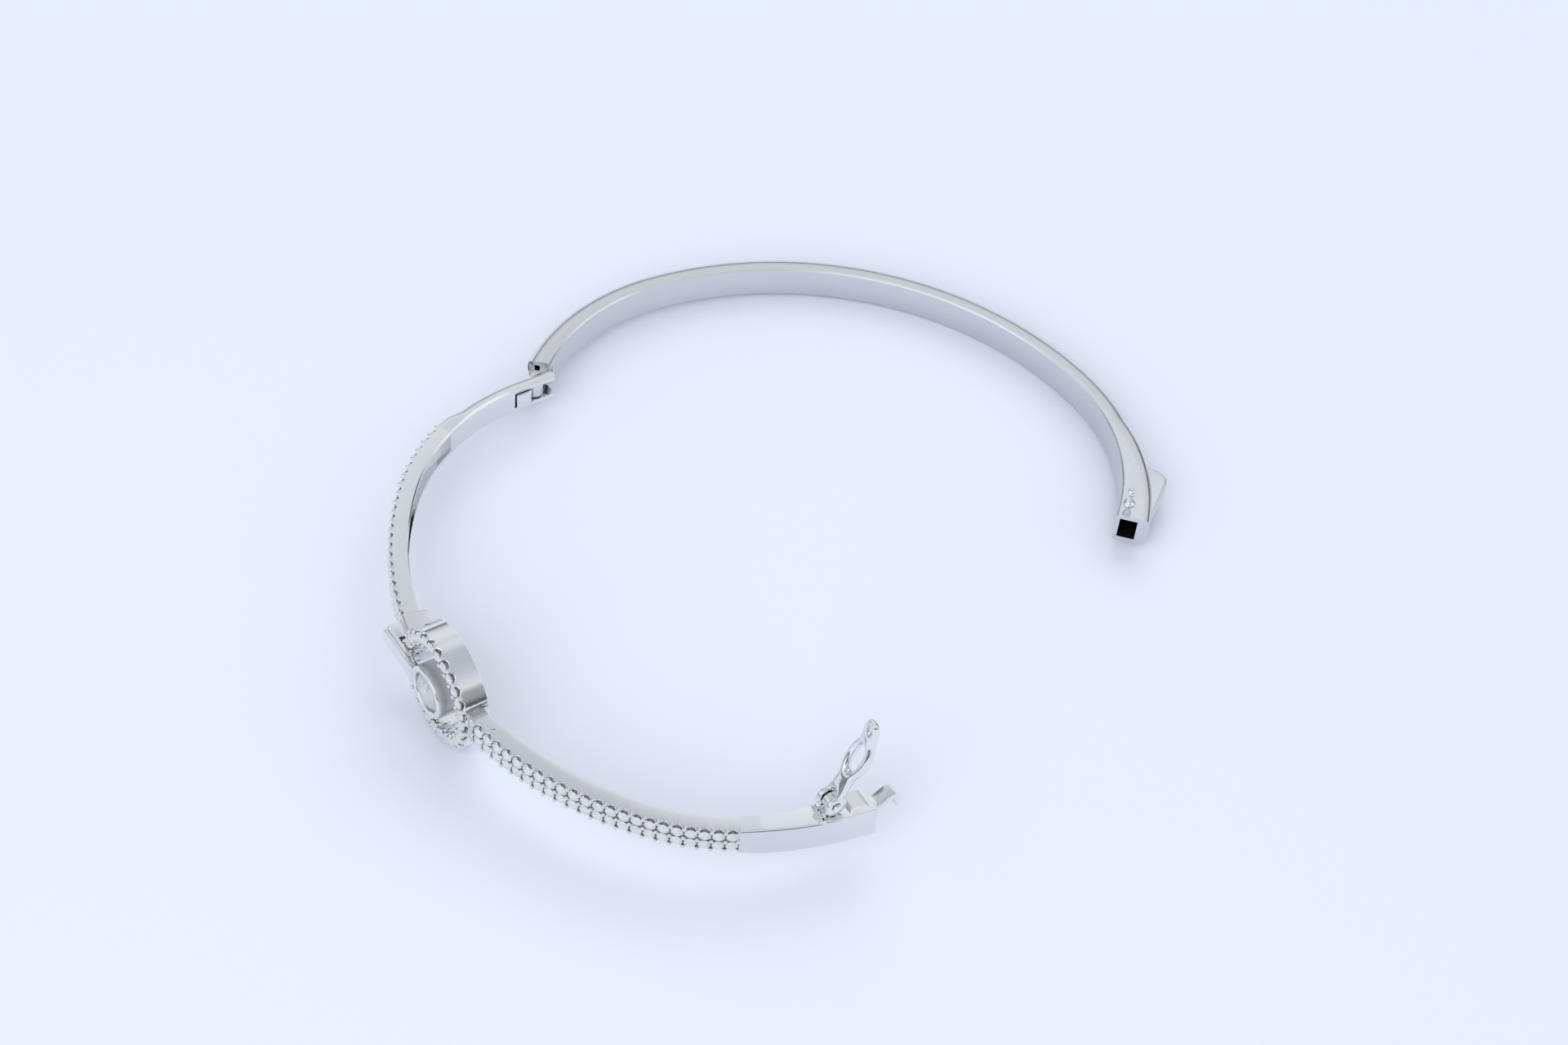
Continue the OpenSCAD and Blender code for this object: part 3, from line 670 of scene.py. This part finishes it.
def clasp_end():
    """The front half's swollen end with its raised block and stub, the frosted pad and the snap tongue."""
    share = 90 - math.degrees(TURN + (E_B - S_TURN) / RO_END)
    split = S_SIDE + MEET_Y - BLOCK_L
    last = S_SIDE + MEET_Y

    def outer(face):
        n = face.normal
        _, (u, v) = oval(last - 3)
        return 1 if n.x * u + n.y * v > 0.9 and abs(n.z) < 0.3 else 0
    rings = []
    before, after, step_up, ridge_up, ridge_wide = split - 0.5, split + 0.3, 0.12, 0.10, 0.16
    for s in spread(E_B, before, 0.3)[:-1] + spread(before, after, 0.05)[:-1] + spread(after, last, 0.25):
        t = thickness(s, share, BAND_T, END_T)
        f = min(1.0, (s - E_B) / 2.0)
        low = -(BAND_W / 2 + (BACK_W - BAND_W) / 2 * f)
        ridge = ridge_up * math.exp(-((s - split) / ridge_wide) ** 2)
        high = BAND_W / 2 + 0.08 * f + (step_up if s > split else 0.0) + ridge
        e, q = 0.10, 0.07
        rings.append(ring_at(s, [(0, low + e), (e, low), (t - e, low), (t, low + e), (t, high - 0.16),
                                 (t - 0.04, high - 0.08), (t - 0.13, high - 0.01), (t - 0.22, high),
                                 (q, high), (0, high - q)]))
    slab = skin(rings)
    x0, x1, half = HA + MOUTH_IN + STUB_GAP, HA + MOUTH_IN + MOUTH_T - STUB_GAP, MOUTH_H / 2 - STUB_GAP
    stub = softened(brick((x0, MEET_Y - 0.2, -half), (x1, MEET_Y + STUB_L, half)), 0.08)
    piece("clasp_end_shell", merged([slab, stub]), ROW, "front_half", [SILVER, BRUSHED],
          ["clasp_arm", "clasp_block"], sharp=25, pick=outer)
    # the pad stays low at its nose, under the closed catch
    top = BACK_W / 2
    pad = [[(HA + 0.10, MEET_Y - 2.5, top - 0.1), (HA + END_T - 0.35, MEET_Y - 2.5, top - 0.1),
            (HA + END_T - 0.22, MEET_Y - 0.3, top - 0.1), (HA + 0.15, MEET_Y - 0.25, top - 0.1)],
           [(HA + 0.25, MEET_Y - 2.2, top + 0.44), (HA + END_T - 0.75, MEET_Y - 2.1, top + 0.40),
            (HA + END_T - 0.85, MEET_Y - 0.75, top + 0.22), (HA + 0.4, MEET_Y - 0.6, top + 0.24)]]
    piece("frosted_pad", softened(skin(pad), 0.2, 4), ROW, "front_half", FROST)

    # a folded leaf: it rises along its top, then turns down at the nose
    fold = [(0.0, 0.3), (0.5, 0.4), (1.1, 0.75), (1.55, 1.0), (2.0, 1.06), (2.4, 0.7), (2.7, -0.1),
            (2.5, -0.95), (2.26, -0.9), (2.2, -0.2), (1.9, 0.35), (1.6, 0.45), (1.0, 0.0), (0.5, -0.3),
            (0.0, -0.36)]
    wide = MOUTH_T - 0.4
    mid = HA + MOUTH_IN + MOUTH_T / 2
    leaf = prism(fold, mid - wide / 2, mid + wide / 2, "x")
    root = Matrix.Translation((0, MEET_Y + STUB_L + 0.05, 0))
    piece("snap_leaf", softened(placed(leaf, root), 0.05, 2, 25), ROW, "snap_tongue", SILVER, ["tongue"])


def catch():
    """The figure-eight safety catch on its lug."""
    top = BACK_W / 2
    rise = pivot.z - top
    outline = arc(0, 0, CHEEK_R - 0.05, -50, 230, 26)
    outline += [(-CHEEK_R - 0.12, -rise - 0.12), (CHEEK_R + 0.12, -rise - 0.12)]
    plate = prism(outline, -LUG_T / 2, LUG_T / 2, "x")
    at_pivot = ROW @ Matrix.Translation(pivot)
    piece("catch_lug_plate", softened(plate, 0.13, 3, 40), at_pivot, "front_half", SILVER, ["catch_lug"])
    wide = LUG_T + 2 * SIDE_GAP + 2 * CHEEK_T
    head = [(r, wide / 2 + h) for r, h in ((0.3, 0.04), (0.45, 0.06), (0.42, 0.2), (0.28, 0.29), (0, 0.3))]
    rivet = [(r, -h) for r, h in reversed(head)] + head
    piece("catch_rivet", lathe(rivet, 32), at_pivot @ TO_SIDE, "front_half", PIN, ["catch_pin"])

    def line(u):
        f = min(max(u / CATCH_L, 0), 1)
        return -0.50 * math.sin(math.pi * f) + 0.18 * math.sin(2 * math.pi * f)

    # stations along the lever: outer half width, half of the gap and half of the thickness
    shape = [(-0.35, 0.94, 0.46, 0.40), (0.0, 0.94, 0.46, 0.56), (0.7, 0.94, 0.46, 0.58),
             (1.15, 0.97, 0.40, 0.56), (1.5, 1.0, 0.0, 0.56), (2.2, 0.92, 0.0, 0.54),
             (2.9, 0.90, 0.0, 0.54), (3.3, 1.0, 0.0, 0.54), (3.75, 1.18, 0.36, 0.54),
             (4.4, 1.34, 0.50, 0.54), (5.0, 1.38, 0.54, 0.54), (5.7, 1.34, 0.50, 0.54),
             (6.3, 1.18, 0.36, 0.54), (6.75, 1.0, 0.0, 0.54), (7.3, 0.86, 0.0, 0.54),
             (7.75, 0.82, 0.0, 0.52), (8.0, 0.82, 0.30, 0.52), (8.55, 0.80, 0.30, 0.48),
             (8.8, 0.76, 0.0, 0.44), (9.1, 0.66, 0.0, 0.38), (CATCH_L + 0.03, 0.42, 0.0, 0.28)]
    verts, faces = [], []
    for side in (-1, 1):
        base = len(verts)
        for u, wide_half, gap_half, half_t in shape:
            z = line(u)
            for x, h in ((gap_half, -half_t), (wide_half, -half_t), (wide_half, half_t), (gap_half, half_t)):
                verts.append((side * x, u, z + h))
        for i in range(len(shape) - 1):
            a, b = base + 4 * i, base + 4 * (i + 1)
            faces += [(a, a + 1, b + 1, b), (a + 1, a + 2, b + 2, b + 1), (a + 2, a + 3, b + 3, b + 2)]
            if shape[i][2] > 0 or shape[i + 1][2] > 0:
                faces.append((a + 3, a, b, b + 3))
        n = base + 4 * (len(shape) - 1)
        faces += [(base, base + 1, base + 2, base + 3), (n, n + 1, n + 2, n + 3)]
    bore = 0.3 + PIN_GAP
    arm = cut(rounded(solid(verts, faces, dissolve=False), 2), [placed(rod(-3, 3, bore, 32), TO_SIDE)])
    discs = []
    for side in (-1, 1):
        x0, x1, edge = side * (LUG_T / 2 + SIDE_GAP), side * wide / 2, CHEEK_R + 0.25
        ring = [(bore, x0), (edge, x0), (edge, x1), (bore, x1), (bore, x0)]
        discs.append(placed(softened(lathe(ring, 48), 0.1, 3, 50), TO_SIDE))
    piece("catch_arm", merged([arm] + discs), CATCH, "safety_catch", SILVER, ["catch_lever", "catch_tip"],
          sharp=50)


# ---- back half ----
def back_half():
    """The plain band with its clasp box, the hinge leaf, the thumb plate and the ball stud."""
    last = S_SIDE + SIDE_L - MEET_Y - MEET_GAP
    swell = S_SIDE - RO_END * math.radians(BOX_DEG)
    rings = []
    for s in spread(-S_SIDE, -swell, 0.5)[:-1] + spread(-swell, swell, 0.6)[:-1] + spread(swell, last, 0.3):
        if s <= swell:
            rings.append(ring_at(s, round_profile(BACK_T, BACK_W, 2.5, 0.16), True))
        else:
            f = (s - swell) / (S_SIDE - 1.5 - swell)
            f = min(f, 1.0) ** 1.2
            t = thickness(s, BOX_DEG, BACK_T, BOX_T)
            rings.append(ring_at(s, round_profile(t, BACK_W, 2.5 + 6.0 * f, 0.16), True))
    bm = skin(rings)
    edge, pocket_deep, pocket_half = EAR_Y + 0.12, 1.6, 1.1
    keep_off = brick((-60, -60, -20), (0, edge, 20))
    at_pin = Matrix.Translation((pin.x, pin.y, 0))
    room = placed(rod(-LEAF_H / 2, LEAF_H / 2, EAR_UP + 1.2, 64), at_pin)
    pocket = brick((pin.x - LEAF_HALF, edge - 1, -pocket_half),
                   (pin.x - 0.05, edge + pocket_deep, pocket_half))
    x0, x1, half = HA + MOUTH_IN, HA + MOUTH_IN + MOUTH_T, MOUTH_H / 2
    mouth_end = MEET_Y + TONGUE_L + 1.1
    mouth = brick((x0, MEET_Y - 1, -half), (x1, mouth_end, half))
    heel = placed(prism([(-0.75, 0), (0, -0.75), (0.75, 0), (0, 0.75)], -3, 3),
                  Matrix.Translation((-HA - BACK_T, edge, 0)))
    bm = cut(bm, [keep_off, room, pocket, mouth, heel])

    def painted_shade_inside(face):
        """1 in the mouth, the pocket and the heel's notch, where it is near-black painted shade, 2 on the cut end,
        0 elsewhere.
        """
        c, n = face.calc_center_median(), face.normal
        in_mouth = x0 - 0.01 < c.x < x1 + 0.01 and abs(c.z) < half + 0.01
        if in_mouth and MEET_Y + 0.12 < c.y < mouth_end + 0.1:
            return 1
        if c.x < -HA - BACK_T + 0.8 and c.y < edge + 0.8 and abs(n.x) > 0.5 and abs(n.y) > 0.5:
            return 1
        if c.x < -HA + 1 and c.y < edge + 0.02:
            return 2
        in_pocket = pin.x - LEAF_HALF - 0.02 < c.x < pin.x - 0.03 and abs(c.z) < pocket_half + 0.02
        return 1 if in_pocket and edge + 0.02 < c.y < edge + pocket_deep + 0.1 else 0
    piece("back_band_shell", bm, BACK, "back_half", [SHADED_BACK_SILVER, PAINTED_SHADE, MATT],
          ["back_bend_hinge", "back_band", "back_bend_clasp", "clasp_box"], sharp=30, pick=painted_shade_inside)

    # hinge leaf
    eye = arc(pin.x, pin.y, EYE_R, 30, -210, 30)
    tail = [(pin.x - LEAF_HALF, pin.y + 2.85), (pin.x + LEAF_HALF, pin.y + 2.85)]
    leaf = prism(eye + tail, -LEAF_H / 2, LEAF_H / 2)
    bore = placed(rod(-5, 5, PIN_R + PIN_GAP, 32), at_pin)
    piece("hinge_leaf_plate", softened(cut(leaf, [bore]), 0.05), BACK, "back_half", SHADED_BACK_SILVER, ["hinge_leaf"])

    # thumb plate
    fin = [(2.45, 0.35), (BOX_T - 0.15, 0.35), (3.55, 3.2), (3.95, 5.9), (4.02, 6.5), (3.95, 6.95),
           (3.65, 7.4), (3.1, 7.75), (2.4, 7.95), (0.4, 8.2), (0.9, 6.0), (2.45, 4.7)]
    outline = [(HA + a, MEET_Y + MEET_GAP + b) for a, b in fin]
    piece("thumb_fin", softened(prism(outline, -FIN_HALF, FIN_HALF), 0.3, 4, 40), BACK, "back_half", SHADED_BACK_SILVER,
          ["thumb_plate"])

    # ball stud
    head = [(0.0, 0.0), (0.62, 0.0), (0.62, 0.08), (0.5, 0.2), (0.3, 0.3), (0.25, 0.45),
            (0.25, STUD_UP - 0.42)]
    neck = 0.37  # how far under the ball's middle the neck meets it
    a0 = math.degrees(math.asin(neck / BALL_R))
    head += [(BALL_R * math.cos(math.radians(a)), STUD_UP + BALL_R * math.sin(math.radians(a)))
             for a in spread(-a0, 90, 9)]
    head[-1] = (0.0, STUD_UP + BALL_R)
    place = Matrix.Translation((HA + STUD_IN, MEET_Y + STUD_FROM_END, BACK_W / 2 - 0.02))
    piece("ball_stud_turned", lathe(head, 32), BACK @ place, "back_half", SILVER, ["ball_stud"], sharp=50)


front_half()
halo()
centre_setting()
clasp_end()
catch()
back_half()

pin_looks = frame["nodes"]["hinge_pin"].data.materials
pin_looks.clear()
pin_looks.append(PIN)


# ---- floor, light and surroundings ----
def stage():
    """The paper floor, two soft lamps and the room that the silver mirrors."""
    material, tree, shader = nodes_of("floor_paper")
    shader.inputs["Roughness"].default_value = 0.9
    shader.inputs["Specular IOR Level"].default_value = 0.2
    where = tree.nodes.new("ShaderNodeTexCoord")
    clouded(tree, shader, where, 3.0, ((0.0, (0.765, 0.800, 0.888)), (1.0, (0.792, 0.822, 0.902))))
    half = 2.5
    bm = bmesh.new()
    corners = [bm.verts.new((a * half, b * half, 0)) for a, b in ((-1, -1), (1, -1), (1, 1), (-1, 1))]
    bm.faces.new(corners)
    bmesh.ops.subdivide_edges(bm, edges=bm.edges, cuts=7, use_grid_fill=True)
    mesh = bpy.data.meshes.new("floor")
    bm.to_mesh(mesh)
    bm.free()
    mesh.materials.append(material)
    floor = bpy.data.objects.new("floor", mesh)
    bpy.context.scene.collection.objects.link(floor)

    def lamp(name, place, aim, size, power, colour):
        data = bpy.data.lights.new(name, "AREA")
        data.shape = "RECTANGLE"
        data.size, data.size_y = size
        data.energy = power
        data.color = colour
        holder = bpy.data.objects.new(name, data)
        holder.location = place
        holder.rotation_euler = (Vector(aim) - Vector(place)).to_track_quat("-Z", "Y").to_euler()
        holder.visible_glossy = False
        holder.visible_transmission = False
        bpy.context.scene.collection.objects.link(holder)

    lamp("key_softbox", (-0.25, 0.35, 0.55), (0, 0, 0), (0.7, 0.5), 1.12, (1.0, 1.0, 1.0))
    lamp("fill_softbox", (0.30, -0.40, 0.42), (0, 0, 0), (0.5, 0.5), 1.5, (0.97, 0.98, 1.0))

    world = bpy.data.worlds.new("surroundings")
    world.use_nodes = True
    bpy.context.scene.world = world
    tree = world.node_tree
    back = tree.nodes["Background"]
    where = tree.nodes.new("ShaderNodeTexCoord")
    parts = tree.nodes.new("ShaderNodeSeparateXYZ")
    link(tree, where, "Generated", parts, "Vector")
    ramp = tree.nodes.new("ShaderNodeValToRGB")
    ramp.color_ramp.interpolation = "B_SPLINE"
    ramp.color_ramp.elements[0].position = 0.0
    ramp.color_ramp.elements[0].color = (0.30, 0.32, 0.35, 1)
    ramp.color_ramp.elements[1].position = 1.0
    ramp.color_ramp.elements[1].color = (0.62, 0.66, 0.74, 1)
    for at, shade in ((0.07, 0.24), (0.13, 0.58), (0.22, 0.88), (0.40, 1.05), (0.62, 1.0), (0.78, 0.8),
                      (0.9, 0.7)):
        stop = ramp.color_ramp.elements.new(at)
        stop.color = (shade * 0.93, shade * 0.97, shade * 1.03, 1)
    link(tree, parts, "Z", ramp, "Fac")
    shade = ramp.outputs["Color"]
    # bright and dark parts of the room: direction, where the edge starts and ends, tone inside
    lobes = (((-0.42, 0.50, 0.76), 0.965, 0.998, 1.3), ((0.92, 0.32, 0.22), 0.93, 0.985, 0.5),
             ((0.45, 0.75, 0.48), 0.90, 0.97, 1.3), ((-0.80, -0.30, 0.52), 0.93, 0.98, 0.35),
             ((0.25, -0.70, 0.66), 0.75, 0.95, 1.5), ((0.75, -0.60, 0.28), 0.95, 0.99, 0.25),
             ((-0.20, 0.95, 0.24), 0.95, 0.99, 0.3))
    for aim, near, wide, tone in lobes:
        facing = tree.nodes.new("ShaderNodeVectorMath")
        facing.operation = "DOT_PRODUCT"
        facing.inputs[1].default_value = Vector(aim).normalized()
        link(tree, where, "Generated", facing, 0)
        edge = tree.nodes.new("ShaderNodeMapRange")
        edge.interpolation_type = "SMOOTHSTEP"
        edge.inputs["From Min"].default_value = near
        edge.inputs["From Max"].default_value = wide
        edge.inputs["To Min"].default_value = 1.0
        edge.inputs["To Max"].default_value = tone
        link(tree, facing, "Value", edge, "Value")
        blend = tree.nodes.new("ShaderNodeVectorMath")
        blend.operation = "SCALE"
        tree.links.new(shade, blend.inputs[0])
        link(tree, edge, "Result", blend, "Scale")
        shade = blend.outputs["Vector"]
    tree.links.new(shade, back.inputs["Color"])
    back.inputs["Strength"].default_value = 0.86
    scene = bpy.context.scene
    scene.view_settings.view_transform = "Standard"
    scene.view_settings.look = "None"


stage()
